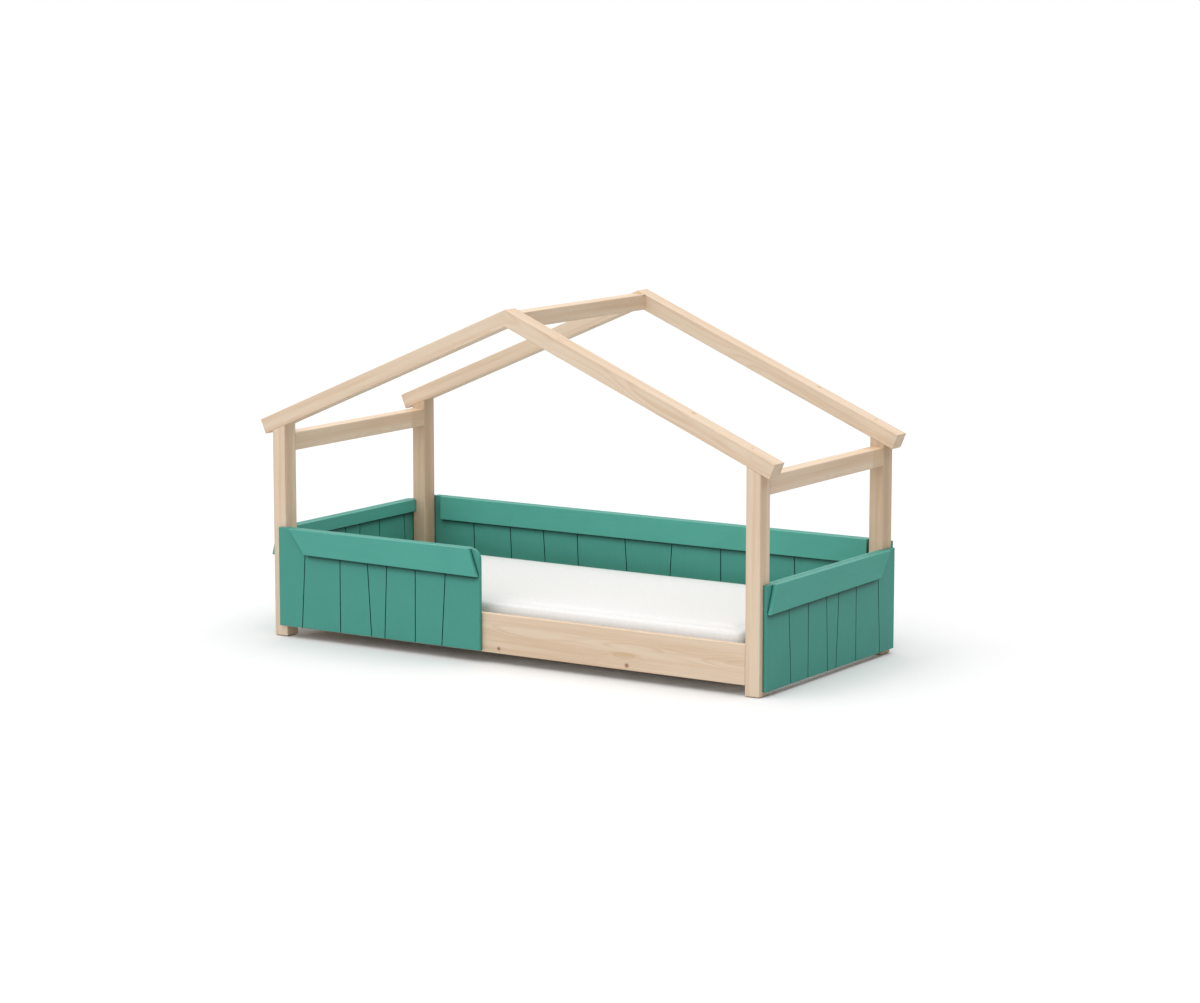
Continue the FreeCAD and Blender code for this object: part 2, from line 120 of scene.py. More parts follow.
timber = {
    "pale": "e5d0b8",                   # early wood
    "dark": "cfb08b",                   # late wood, the darker half of a ring
    "streak": "d6b797",                 # broad, slightly pink tone changes along the grain
    "knot": "8d5c3a",
    "driftStretch": (2.5, 2.5, 1.6),    # stretches scale the place before its noise, with Z along the grain
    "driftDetail": 1.0,
    "wander": 0.064,                    # sideways drift of the rings over the noise's whole range
    "knotStretch": (7, 7, 2.6),
    "knotRadius": 0.034,                # in the stretched place, so about 5 mm across the grain
    "noKnot": 100.0,                    # knot radii to a knot where none is drawn
    "knotBend": (0.0, 4.5, 0.010, 0.0),  # knot radii, and how far the rings move there
    "knotCore": (0.75, 1.25, 0.9, 0.0),  # knot radii, and how much of the knot's colour
    "knotHalo": (1.0, 2.6, 0.35, 0.0),
    "ringSpacing": 0.0048,              # real spruce has 2 to 3 mm, which is too fine to show here
    "ringProfile": ((0.45, 0.15), (0.80, 1.0), (0.90, 0.55)),  # place in a ring, and darkness
    "fadeStretch": (22, 22, 2.2),
    "fadeDetail": 2.0,
    "fade": (0.35, 0.7, 0.15, 0.75),    # noise, and how strongly the rings show
    "streakStretch": (48, 48, 1.3),
    "streakDetail": 3.0,
    "streaks": (0.42, 0.72, 0.0, 0.75),
    "fibreStretch": (650, 650, 9),
    "fibreDetail": 2.0,
    "fibres": (0.3, 0.7, 0.965, 1.03),  # noise, and the tone that it gives
    "flameShift": 0.017,                # how far a flame moves the rings in its middle
    "flameContrast": 0.9,
    "flameHeart": (0.45, 0.85),
    "heartWarmth": 1.4,                 # against 1 for the wood past a finger joint
    "warmth": 0.5,                      # how much of the late wood's colour warm places take
    "seamShift": 0.031,                 # how far the rings jump at a finger joint
    "ringRelief": -0.5,                 # late wood lies lower, in shares of the fibres' relief
    "bump": 0.25,
    "bumpHeight": 0.0004,
    "roughness": 0.62,
    "ior": 1.45,
    "seed": 12,
}


def stretchedNoise(tree, place, stretch, detail):
    stretched = addNode(tree, "ShaderNodeVectorMath", {0: place, 1: stretch}, operation="MULTIPLY")
    return addNode(tree, "ShaderNodeTexNoise", {"Vector": stretched, "Scale": 1.0, "Detail": detail})


def makeGrainGroup():
    group, given = openGroup("spruceGrain", "ShaderNodeTree", [
        ("Vector", "INPUT", "Vector"),      # Z along the grain
        ("Pith", "INPUT", "Vector"),
        ("Extra Knots", "INPUT", "Float"),  # distance to the nearest drawn knot, in its radii
        ("Flame", "INPUT", "Float"),        # 1 in the middle of a flame
        ("Seam", "INPUT", "Float"),         # 1 past a finger joint
        ("Pale", "INPUT", "Color"),
        ("Dark", "INPUT", "Color"),
        ("Streak", "INPUT", "Color"),
        ("Knot", "INPUT", "Color"),
        ("Color", "OUTPUT", "Color"),
        ("Height", "OUTPUT", "Float"),
    ])
    place = given["Vector"]

    # The pith drifts, so the rings wander and open into flames on a flat-sawn face.
    drift = stretchedNoise(group, place, timber["driftStretch"], timber["driftDetail"])
    centred = addNode(
        group, "ShaderNodeVectorMath", {0: drift.outputs["Color"], 1: (0.5, 0.5, 0.5)},
        operation="SUBTRACT",
    )
    moved = addNode(
        group, "ShaderNodeVectorMath",
        {0: centred, 1: (timber["wander"], timber["wander"], 0), 2: place}, operation="MULTIPLY_ADD",
    )
    fromPith = addNode(group, "ShaderNodeVectorMath", {0: moved, 1: given["Pith"]}, operation="SUBTRACT")
    flat = addNode(group, "ShaderNodeVectorMath", {0: fromPith, 1: (1, 1, 0)}, operation="MULTIPLY")
    radius = addNode(group, "ShaderNodeVectorMath", {0: flat}, operation="LENGTH").outputs["Value"]

    # Knots are a few branches, each drawn out along the grain, with the rings bent round it.
    knotPlace = addNode(
        group, "ShaderNodeVectorMath", {0: place, 1: timber["knotStretch"]}, operation="MULTIPLY"
    )
    cells = addNode(group, "ShaderNodeTexVoronoi", {"Vector": knotPlace, "Scale": 1.0})
    inRadii = addNode(
        group, "ShaderNodeMath", {0: cells.outputs["Distance"], 1: timber["knotRadius"]},
        operation="DIVIDE",
    )
    nearest = addNode(
        group, "ShaderNodeMath", {0: inRadii, 1: given["Extra Knots"]}, operation="MINIMUM"
    )
    bend = addNode(
        group, "ShaderNodeMapRange", {"Value": nearest, **limits(*timber["knotBend"])},
        interpolation_type="SMOOTHSTEP",
    )
    flamed = addNode(
        group, "ShaderNodeMath", {0: given["Flame"], 1: timber["flameShift"], 2: radius},
        operation="MULTIPLY_ADD",
    )
    joined = addNode(
        group, "ShaderNodeMath", {0: given["Seam"], 1: timber["seamShift"], 2: flamed},
        operation="MULTIPLY_ADD",
    )
    bent = addNode(group, "ShaderNodeMath", {0: joined, 1: bend}, operation="ADD")

    turns = addNode(group, "ShaderNodeMath", {0: bent, 1: timber["ringSpacing"]}, operation="DIVIDE")
    phase = addNode(group, "ShaderNodeMath", {0: turns}, operation="FRACT")
    ring = addNode(group, "ShaderNodeValToRGB", {"Fac": phase})
    stops = ring.color_ramp.elements
    stops[1].color = (0, 0, 0, 1)
    for position, level in timber["ringProfile"]:
        stops.new(position).color = (level, level, level, 1)
    # The rings fade in and out along a board.
    fade = stretchedNoise(group, place, timber["fadeStretch"], timber["fadeDetail"])
    fadeLevel = addNode(group, "ShaderNodeMapRange", {"Value": fade, **limits(*timber["fade"])})
    flameLevel = addNode(
        group, "ShaderNodeMath", {0: given["Flame"], 1: timber["flameContrast"], 2: fadeLevel},
        operation="MULTIPLY_ADD",
    )
    ringLevel = addNode(group, "ShaderNodeMath", {0: ring, 1: flameLevel}, operation="MULTIPLY")
    rings = addNode(
        group, "ShaderNodeMix", {0: ringLevel, 6: given["Pale"], 7: given["Dark"]}, data_type="RGBA"
    )

    streaks = stretchedNoise(group, place, timber["streakStretch"], timber["streakDetail"])
    streakLevel = addNode(
        group, "ShaderNodeMapRange", {"Value": streaks, **limits(*timber["streaks"])}
    )
    toned = addNode(
        group, "ShaderNodeMix", {0: streakLevel, 6: rings.outputs[2], 7: given["Streak"]},
        data_type="RGBA",
    )
    flameHeart = addNode(
        group, "ShaderNodeMapRange", {"Value": given["Flame"], **limits(*timber["flameHeart"])},
        interpolation_type="SMOOTHSTEP",
    )
    warmed = addNode(
        group, "ShaderNodeMath", {0: flameHeart, 1: timber["heartWarmth"], 2: given["Seam"]},
        operation="MULTIPLY_ADD",
    )
    warmth = addNode(group, "ShaderNodeMath", {0: warmed, 1: timber["warmth"]}, operation="MULTIPLY")
    deeper = addNode(
        group, "ShaderNodeMix", {0: warmth, 6: toned.outputs[2], 7: given["Dark"]}, data_type="RGBA"
    )
    fibres = stretchedNoise(group, place, timber["fibreStretch"], timber["fibreDetail"])
    fibreTone = addNode(group, "ShaderNodeMapRange", {"Value": fibres, **limits(*timber["fibres"])})
    lit = addNode(
        group, "ShaderNodeVectorMath", {0: deeper.outputs[2], 1: fibreTone}, operation="MULTIPLY"
    )
    colour = lit.outputs[0]
    for part in ("knotCore", "knotHalo"):
        level = addNode(
            group, "ShaderNodeMapRange", {"Value": nearest, **limits(*timber[part])},
            interpolation_type="SMOOTHSTEP",
        )
        knotted = addNode(
            group, "ShaderNodeMix", {0: level, 6: colour, 7: given["Knot"]}, data_type="RGBA"
        )
        colour = knotted.outputs[2]
    height = addNode(
        group, "ShaderNodeMath", {0: ringLevel, 1: timber["ringRelief"], 2: fibres},
        operation="MULTIPLY_ADD",
    )
    addNode(group, "NodeGroupOutput", {"Color": colour, "Height": height})
    return group


grainGroup = makeGrainGroup()


def makeSpruce(name, centre, turn, pith, knots=(), colours=timber, marks=None):
    # turn lays local Z along the grain, knots are (place, radius) in the bed's frame, and marks adds
    # a flame or a seam to the grain
    material, tree = newMaterial(name)
    place = addNode(tree, "ShaderNodeTexCoord").outputs["Object"]
    local = addNode(
        tree, "ShaderNodeMapping", {"Vector": place, "Location": centre, "Rotation": turn},
        vector_type="TEXTURE",
    )
    nearest = timber["noKnot"]
    for knotPlace, knotRadius in knots:
        offset = addNode(tree, "ShaderNodeVectorMath", {0: place, 1: knotPlace}, operation="DISTANCE")
        inRadii = addNode(
            tree, "ShaderNodeMath", {0: offset.outputs["Value"], 1: knotRadius}, operation="DIVIDE"
        )
        nearest = addNode(tree, "ShaderNodeMath", {0: nearest, 1: inRadii}, operation="MINIMUM")
    inputs = {"Vector": local, "Pith": pith, "Extra Knots": nearest}
    for socket in ("Pale", "Dark", "Streak", "Knot"):
        inputs[socket] = linear(colours[socket.lower()])
    if marks:
        inputs.update(marks(tree, place))
    grain = addNode(tree, "ShaderNodeGroup", inputs, node_tree=grainGroup)
    bump = addNode(
        tree, "ShaderNodeBump",
        {"Height": grain.outputs["Height"], "Strength": timber["bump"], "Distance": timber["bumpHeight"]},
    )
    shader = addNode(
        tree, "ShaderNodeBsdfPrincipled",
        {"Base Color": grain.outputs["Color"], "Roughness": timber["roughness"], "IOR": timber["ior"],
         "Normal": bump},
    )
    finishMaterial(tree, shader)
    return material


railFlame = {"middle": (0.525, -0.5, 0.099), "size": (0.135, 0.2, 0.020)}  # half lengths in X, Y and Z
eavesSeam = {"y": 0.343, "width": 0.0015}  # finger joint in each eaves rail, ahead of the rear post


def flameMark(tree, place):
    local = addNode(
        tree, "ShaderNodeMapping",
        {"Vector": place, "Location": railFlame["middle"], "Scale": railFlame["size"]},
        vector_type="TEXTURE",
    )
    reach = addNode(tree, "ShaderNodeVectorMath", {0: local}, operation="LENGTH")
    level = addNode(
        tree, "ShaderNodeMapRange", {"Value": reach.outputs["Value"], **limits(0.0, 1.0, 1.0, 0.0)},
        interpolation_type="SMOOTHSTEP",
    )
    return {"Flame": level}


def seamMark(tree, place):
    parts = addNode(tree, "ShaderNodeSeparateXYZ", {0: place})
    seamEnd = eavesSeam["y"] + eavesSeam["width"]
    level = addNode(
        tree, "ShaderNodeMapRange", {"Value": parts.outputs["Y"], **limits(eavesSeam["y"], seamEnd)}
    )
    return {"Seam": level}


roofPitch = math.radians(23)
alongX = (0, math.radians(90), 0)
alongY = (math.radians(-90), 0, 0)
alongZ = (0, 0, 0)
chance = random.Random(timber["seed"])
slatNames = sorted(name for name in nodes if name.startswith("slat_") and "strap" not in name)

pithReach = {  # least and most distance of the pith from the middle of a piece
    "post": (0.045, 0.075),
    "rafter": (0.050, 0.080),
    "rail": (0.045, 0.070),
    "ridge": (0.050, 0.070),
    "ledger": (0.040, 0.060),
}


def middleOf(name):
    low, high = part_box(name)
    return (Vector(low) + Vector(high)) / 2


def randomPith(stock):  # across the grain, off the middle of the piece
    angle = chance.uniform(0, 2 * math.pi)
    reach = chance.uniform(*pithReach[stock])
    return (reach * math.cos(angle), reach * math.sin(angle), 0)


rearTimberPaintedShade = dict(timber, pale="d2baa0", streak="c4a586")  # painted shade: the rear posts' wood is slightly darker, for the shade on their fronts
rafterTimber = dict(timber, knot="c4946c")  # with small live knots, hardly darker than the wood
rafterKnots = (  # in the right rafters, off their middle in Y
    {"x": 1.046, "off": 0.0, "z": 0.902, "radius": 0.0035},
    {"x": 0.7935, "off": 0.010, "z": 1.010, "radius": 0.0055},
)


def paintRoof():
    for face in ("front", "rear"):
        stock = rearTimberPaintedShade if face == "rear" else timber
        for side, sign in (("left", -1), ("right", 1)):
            post = f"post_{face}_{side}"
            grain = makeSpruce(
                f"spruce {post}", middleOf(post), alongZ, randomPith("post"), colours=stock
            )
            paint(post, grain)
            rafter = f"rafter_{face}_{side}"
            middle = middleOf(rafter)
            knots = []
            if side == "right":
                for knot in rafterKnots:
                    knots.append(((knot["x"], middle.y + knot["off"], knot["z"]), knot["radius"]))
            slope = (0, sign * (math.pi / 2 + roofPitch), 0)
            grain = makeSpruce(
                f"spruce {rafter}", middle, slope, randomPith("rafter"), knots, rafterTimber
            )
            paint(rafter, grain)
    for side in ("left", "right"):
        name = f"eaves_rail_{side}"
        grain = makeSpruce(
            f"spruce {name}", middleOf(name), alongY, randomPith("rail"), marks=seamMark
        )
        paint(name, grain)
    ridge = makeSpruce("spruce ridge_beam", middleOf("ridge_beam"), alongY, randomPith("ridge"))
    paint("ridge_beam", ridge)


sideRail = {
    "turn": (0.4, 90.7, 0.0),   # degrees: the grain runs out a little, which opens flames
    "pith": (-0.022, 0.034),    # flat sawn, with the pith behind the face
    "halfThickness": 0.0125,
    "knots": ({"x": -0.0335, "z": 0.061, "radius": 0.0050}, {"x": 0.537, "z": 0.0596, "radius": 0.0058}),
}
slatStock = {"middle": (0, 0.07, 0), "pith": (0, 0.4, 0)}  # one grain runs through all slats


def paintBedFrame():
    turn = [math.radians(angle) for angle in sideRail["turn"]]
    for face, inward in (("front", 1), ("rear", -1)):
        rail = f"side_rail_{face}"
        middle = middleOf(rail)
        outerY = middle.y - inward * sideRail["halfThickness"]
        knots = [((knot["x"], outerY, knot["z"]), knot["radius"]) for knot in sideRail["knots"]]
        pith = (sideRail["pith"][0], inward * sideRail["pith"][1], 0)
        paint(rail, makeSpruce(f"spruce {rail}", middle, turn, pith, knots, marks=flameMark))
        ledger = f"ledger_{face}"
        paint(ledger, makeSpruce(f"spruce {ledger}", middleOf(ledger), alongX, randomPith("ledger")))
    for side in ("left", "right"):
        name = f"end_rail_{side}"
        paint(name, makeSpruce(f"spruce {name}", middleOf(name), alongY, randomPith("rail")))
    slats = makeSpruce("spruce slats", slatStock["middle"], alongY, slatStock["pith"])
    for name in slatNames:
        paint(name, slats)


paintRoof()
paintBedFrame()
print("timber painted")


# ---- dowels: turned beech, darker and plainer than the spruce ----

beech = {
    "pale": "d6b48a", "dark": "c59c6e", "streak": "cda67a", "knot": "b98d60", "pith": (0.2, 0.2, 0),
}
dowelBeech = makeSpruce("turned beech", (0, 0, 0), alongY, beech["pith"], colours=beech)
paint("rail_dowels", dowelBeech)
paint("roof_dowels", dowelBeech)


# ---- guards: boards rolled with satin water-based paint, which leaves a faint drag along them ----

paintwork = {
    "trims": "54a798",
    "planksPaintedShade": "4d9c8e",           # painted shade: the planks' coat is a little darker than the trims, for the shade below them
    "thin": 0.92,                 # tone of the coat where it lies thinner
    "paintedShade": "123730",           # painted shade in the plank lines and painted shadow close under the trims
    "grooveShadeReach": 0.009,         # how near a wall makes painted shade in a plank line
    "grooveShadeSamples": 8,
    "grooveShadeLimits": (0.45, 0.92, 1.0, 0.0),
    "trimShadowReach": 0.150,        # how far above a point a trim still casts the painted shadow
    "trimShadowSamples": 16,
    "trimShadowLimits": (0.01, 0.25, 1.0, 0.0),  # half of what is above a face is the board itself
    "dragSpacing": 0.006,         # roller stipple and drag, drawn coarser than the real 1 mm
    "dragDetail": 3.0,
    "dragRoughness": 0.6,
    "trimStretch": 0.06,          # along the trims, with 1 across them
    "plankStretch": 0.08,
    "cloudScale": 5.0,
    "cloudDetail": 2.0,
    "dragShare": 0.6,             # of the tone, against 1 for the clouds
    "toneLimits": (0.55, 1.05),
    "roughness": (0.41, 0.54),
    "ior": 1.48,
    "specular": 0.2,
    "bump": 0.05,
    "bumpHeight": 0.0005,
}


def makePaintwork(name, drag, colour):
    # drag is the pattern's stretch: small along the board, 1 across it
    material, tree = newMaterial(name)
    place = addNode(tree, "ShaderNodeTexCoord").outputs["Object"]
    stretched = addNode(tree, "ShaderNodeMapping", {"Vector": place, "Scale": drag})
    strokes = addNode(
        tree, "ShaderNodeTexNoise",
        {"Vector": stretched, "Scale": 1 / paintwork["dragSpacing"], "Detail": paintwork["dragDetail"],
         "Roughness": paintwork["dragRoughness"]},
    )
    clouds = addNode(
        tree, "ShaderNodeTexNoise",
        {"Vector": place, "Scale": paintwork["cloudScale"], "Detail": paintwork["cloudDetail"]},
    )
    both = addNode(
        tree, "ShaderNodeMath", {0: strokes, 1: paintwork["dragShare"], 2: clouds},
        operation="MULTIPLY_ADD",
    )
    level = addNode(tree, "ShaderNodeMapRange", {"Value": both, **limits(*paintwork["toneLimits"])})
    tone = addNode(
        tree, "ShaderNodeMapRange", {"Value": level, **limits(0.0, 1.0, 1.0, paintwork["thin"])}
    )
    coat = addNode(tree, "ShaderNodeVectorMath", {0: linear(colour)[:3], 1: tone}, operation="MULTIPLY")
    # painted shade: ambient occlusion darkens the coat in the plank lines, and occlusion from above paints
    # a shadow under the trims
    paintedShade = addNode(
        tree, "ShaderNodeAmbientOcclusion", {"Distance": paintwork["grooveShadeReach"]},
        samples=paintwork["grooveShadeSamples"],
    )
    grooveShade = addNode(
        tree, "ShaderNodeMapRange",
        {"Value": paintedShade.outputs["AO"], **limits(*paintwork["grooveShadeLimits"])},
    )
    up = addNode(tree, "ShaderNodeCombineXYZ", {"Z": 1.0})
    above = addNode(
        tree, "ShaderNodeAmbientOcclusion", {"Distance": paintwork["trimShadowReach"], "Normal": up},
        samples=paintwork["trimShadowSamples"],
    )
    trimShadow = addNode(
        tree, "ShaderNodeMapRange",
        {"Value": above.outputs["AO"], **limits(*paintwork["trimShadowLimits"])},
    )
    paintedShadeLevel = addNode(tree, "ShaderNodeMath", {0: grooveShade, 1: trimShadow}, operation="MAXIMUM")
    shaded = addNode(
        tree, "ShaderNodeMix", {0: paintedShadeLevel, 6: coat.outputs[0], 7: linear(paintwork["paintedShade"])},
        data_type="RGBA",
    )
    gloss = addNode(
        tree, "ShaderNodeMapRange", {"Value": strokes, **limits(0.0, 1.0, *paintwork["roughness"])}
    )
    bump = addNode(
        tree, "ShaderNodeBump",
        {"Height": strokes, "Strength": paintwork["bump"], "Distance": paintwork["bumpHeight"]},
    )
    shader = addNode(
        tree, "ShaderNodeBsdfPrincipled",
        {"Base Color": shaded.outputs[2], "Roughness": gloss, "IOR": paintwork["ior"],
         "Specular IOR Level": paintwork["specular"], "Normal": bump},
    )
    finishMaterial(tree, shader)
    return material


trimDrag = paintwork["trimStretch"]
paintAlongX = makePaintwork("satin paint, drawn along X", (trimDrag, 1, 1), paintwork["trims"])
paintAlongY = makePaintwork("satin paint, drawn along Y", (1, trimDrag, 1), paintwork["trims"])
paintAlongZ = makePaintwork(
    "satin paint, drawn upright", (1, 1, paintwork["plankStretch"]), paintwork["planksPaintedShade"]
)
for name in nodes:
    if name.endswith("_panel"):
        paint(name, paintAlongZ)
    elif "_trim_" in name:
        paint(name, paintAlongX if name.startswith(("front", "rear")) else paintAlongY)
print("guards painted")


# ---- steel fittings: zinc-plated mild steel, soft grey with a fine mottle ----

steel = {
    "colour": "c3c5c8", "shade": "aeb1b6", "mottle": 0.004, "detail": 2.0, "roughness": (0.30, 0.48),
}


def makeZinc():
    material, tree = newMaterial("zinc-plated steel")
    place = addNode(tree, "ShaderNodeTexCoord").outputs["Object"]
    mottle = addNode(
        tree, "ShaderNodeTexNoise",
        {"Vector": place, "Scale": 1 / steel["mottle"], "Detail": steel["detail"]},
    )
    tone = addNode(
        tree, "ShaderNodeMix", {0: mottle, 6: linear(steel["colour"]), 7: linear(steel["shade"])},
        data_type="RGBA",
    )
    gloss = addNode(
        tree, "ShaderNodeMapRange", {"Value": mottle, **limits(0.0, 1.0, *steel["roughness"])}
    )
    shader = addNode(
        tree, "ShaderNodeBsdfPrincipled",
        {"Base Color": tone.outputs[2], "Metallic": 1.0, "Roughness": gloss},
    )
    finishMaterial(tree, shader)
    return material


zinc = makeZinc()
for name in ("corner_brackets", "hanger_bolts", "apex_studs", "half_moon_nuts"):
    paint(name, zinc)


# ---- glides: moulded polyethylene, waxy and off-white ----

glides = {
    "colour": "e6e2d8", "roughness": 0.5, "ior": 1.51, "grain": 0.0015, "bump": 0.1, "bumpHeight": 0.0002,
}


def makeGlidePlastic():
    material, tree = newMaterial("moulded polyethylene")
    place = addNode(tree, "ShaderNodeTexCoord").outputs["Object"]
    grain = addNode(tree, "ShaderNodeTexNoise", {"Vector": place, "Scale": 1 / glides["grain"]})
    bump = addNode(
        tree, "ShaderNodeBump",
        {"Height": grain, "Strength": glides["bump"], "Distance": glides["bumpHeight"]},
    )
    shader = addNode(
        tree, "ShaderNodeBsdfPrincipled",
        {"Base Color": linear(glides["colour"]), "Roughness": glides["roughness"], "IOR": glides["ior"],
         "Normal": bump},
    )
    finishMaterial(tree, shader)
    return material


paint("foot_glides", makeGlidePlastic())


# ---- webbing and mattress cover: woven polyester, with crossed threads ----

webbingWeave = {
    "colour": "e3ded2", "shade": "c9c2b2", "thread": 0.0024, "roughness": 0.85, "strength": 0.5,
}
coverWeave = {
    "colour": "f1f0ef", "shade": "e8e7e5", "thread": 0.0030, "roughness": 0.92, "strength": 0.35,
}
weaving = {
    "wavePeriod": math.pi / 10,  # of a Wave texture at scale 1, and two threads long
    "slubScale": 60.0,
    "slubDetail": 3.0,
    "gapShade": -0.4,          # painted shade in the gaps: threads are paler than the gaps between them
    "toneLimits": (-0.1, 0.7),
    "bumpHeight": 0.0004,
    "ior": 1.5,
    "sheen": 0.25,
    "sheenRoughness": 0.5,
}


def makeWeave(name, weave):
    material, tree = newMaterial(name)
    place = addNode(tree, "ShaderNodeTexCoord").outputs["Object"]
    scale = weaving["wavePeriod"] / (2 * weave["thread"])
    warp, weft = [
        addNode(tree, "ShaderNodeTexWave", {"Vector": place, "Scale": scale}, bands_direction=axis)
        for axis in ("X", "Y")
    ]
    threads = addNode(
        tree, "ShaderNodeMath", {0: warp.outputs[1], 1: weft.outputs[1]}, operation="MAXIMUM"
    )
    slub = addNode(
        tree, "ShaderNodeTexNoise",
        {"Vector": place, "Scale": weaving["slubScale"], "Detail": weaving["slubDetail"]},
    )
    tone = addNode(
        tree, "ShaderNodeMath", {0: threads, 1: weaving["gapShade"], 2: slub},
        operation="MULTIPLY_ADD",
    )
    level = addNode(tree, "ShaderNodeMapRange", {"Value": tone, **limits(*weaving["toneLimits"])})
    colour = addNode(
        tree, "ShaderNodeMix", {0: level, 6: linear(weave["colour"]), 7: linear(weave["shade"])},
        data_type="RGBA",
    )
    bump = addNode(
        tree, "ShaderNodeBump",
        {"Height": threads, "Strength": weave["strength"], "Distance": weaving["bumpHeight"]},
    )
    shader = addNode(
        tree, "ShaderNodeBsdfPrincipled",
        {"Base Color": colour.outputs[2], "Roughness": weave["roughness"], "IOR": weaving["ior"],
         "Sheen Weight": weaving["sheen"], "Sheen Roughness": weaving["sheenRoughness"],
         "Normal": bump},
    )
    finishMaterial(tree, shader)
    return material


webbing = makeWeave("woven polyester webbing", webbingWeave)
coverCloth = makeWeave("woven polyester cover", coverWeave)
for name in ("slat_strap_front", "slat_strap_rear"):
    paint(name, webbing)


# ---- mattress: a foam block in a fitted cover, so its border is full and its top slightly crowned ----

mattressForm = {
    "weld": 1e-5,
    "shrink": 0.003,             # the start lies inside the CAD form, and the pressure fills it out
    "voxel": 0.014,
    "smoothing": 2,
    "smoothFactor": 0.5,
    "pressure": 3.0,
    "stiffness": 12,
    "frames": 20,
    "furthest": 0.006,           # how far a point may move
    "tuckInset": 0.058,          # a shallow tuck runs round the top, inside the rounded border
    "tuckDepth": 0.006,
    "borderInset": 0.058 / 3,    # and the border swells outside it
    "borderRise": 0.004,
    "tuckWidth": 0.020,          # of both
}


def shrunkMattress(low, high):  # the CAD form as one closed mesh, slightly smaller
    mesh = nodes["mattress"].data.copy()
    mesh.name = "mattressCover"
    shape = bmesh.new()
    shape.from_mesh(mesh)
    bmesh.ops.remove_doubles(shape, verts=shape.verts, dist=mattressForm["weld"])
    bmesh.ops.recalc_face_normals(shape, faces=shape.faces)
    middle = (low + high) / 2
    for vertex in shape.verts:
        offset = vertex.co - middle
        for axis in range(3):
            half = (high[axis] - low[axis]) / 2
            offset[axis] *= (half - mattressForm["shrink"]) / half
        vertex.co = middle + offset
    shape.to_mesh(mesh)
    shape.free()
    return mesh


def fillOut(piece):
    cloth = piece.modifiers.new("cloth", "CLOTH")
    cloth.settings.use_pressure = True
    cloth.settings.uniform_pressure_force = mattressForm["pressure"]
    cloth.settings.tension_stiffness = mattressForm["stiffness"]
    cloth.settings.compression_stiffness = mattressForm["stiffness"]
    cloth.settings.effector_weights.gravity = 0
    cloth.point_cache.frame_end = mattressForm["frames"]
    for step in range(1, mattressForm["frames"] + 1):
        scene.frame_set(step)
    replaceMesh(piece)


def ridgeAt(inset, place):  # 1 where the inset from the edge is place, falling off on both sides
    return math.exp(-((inset - place) / mattressForm["tuckWidth"]) ** 2)


def makeMattress():
    low, high = (Vector(corner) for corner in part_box("mattress"))
    piece = newObject("mattressCover", shrunkMattress(low, high))
    piece.modifiers.new("remesh", "REMESH").voxel_size = mattressForm["voxel"]
    smooth = piece.modifiers.new("smooth", "SMOOTH")
    smooth.factor = mattressForm["smoothFactor"]
    smooth.iterations = mattressForm["smoothing"]
    replaceMesh(piece)
    start = [vertex.co.copy() for vertex in piece.data.vertices]
    fillOut(piece)
    furthest = mattressForm["furthest"]
    middleZ = ((low + high) / 2).z
    for vertex, home in zip(piece.data.vertices, start):
        move = vertex.co - home
        if move.length > furthest:
            move *= furthest / move.length
        vertex.co = home + move
        inset = min(high.x - abs(vertex.co.x), high.y - abs(vertex.co.y))
        if vertex.co.z > middleZ:
            tuck = ridgeAt(inset, mattressForm["tuckInset"])
            border = ridgeAt(inset, mattressForm["borderInset"])
            vertex.co.z += mattressForm["borderRise"] * border - mattressForm["tuckDepth"] * tuck
        vertex.co.z = max(vertex.co.z, low.z)
    scene.frame_set(1)
    finer = piece.modifiers.new("finer", "SUBSURF")
    finer.levels = 1
    finer.render_levels = 1
    for polygon in piece.data.polygons:
        polygon.use_smooth = True
    piece.data.materials.clear()
    piece.data.materials.append(coverCloth)
    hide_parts("mattress")
    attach(piece, "mattress")
    print("mattress made:", len(piece.data.polygons), "faces")


makeMattress()


# ---- screws and staples: repeated by Geometry Nodes ----

screws = {
    "headRadius": 0.0045,
    "headHeight": 0.0026,
    "headSides": 24,
    "neckRadius": 0.0022,
    "panShare": 0.86,       # a raised head's top against its foot
    "driveRadius": 0.0022,  # hexagonal socket
    "driveSides": 6,
    "driveDepth": 0.0014,
    "driveTool": 0.02,      # length of the solid that cuts the socket
    "proud": 0.0003,        # a countersunk head's face above the wood
    "seed": 4,
}


def finishTree(tree, instances, material):
    real = addNode(tree, "GeometryNodeRealizeInstances", {"Geometry": instances})
    coloured = addNode(tree, "GeometryNodeSetMaterial", {"Geometry": real, "Material": material})
    addNode(tree, "NodeGroupOutput", {"Geometry": coloured})
    return tree


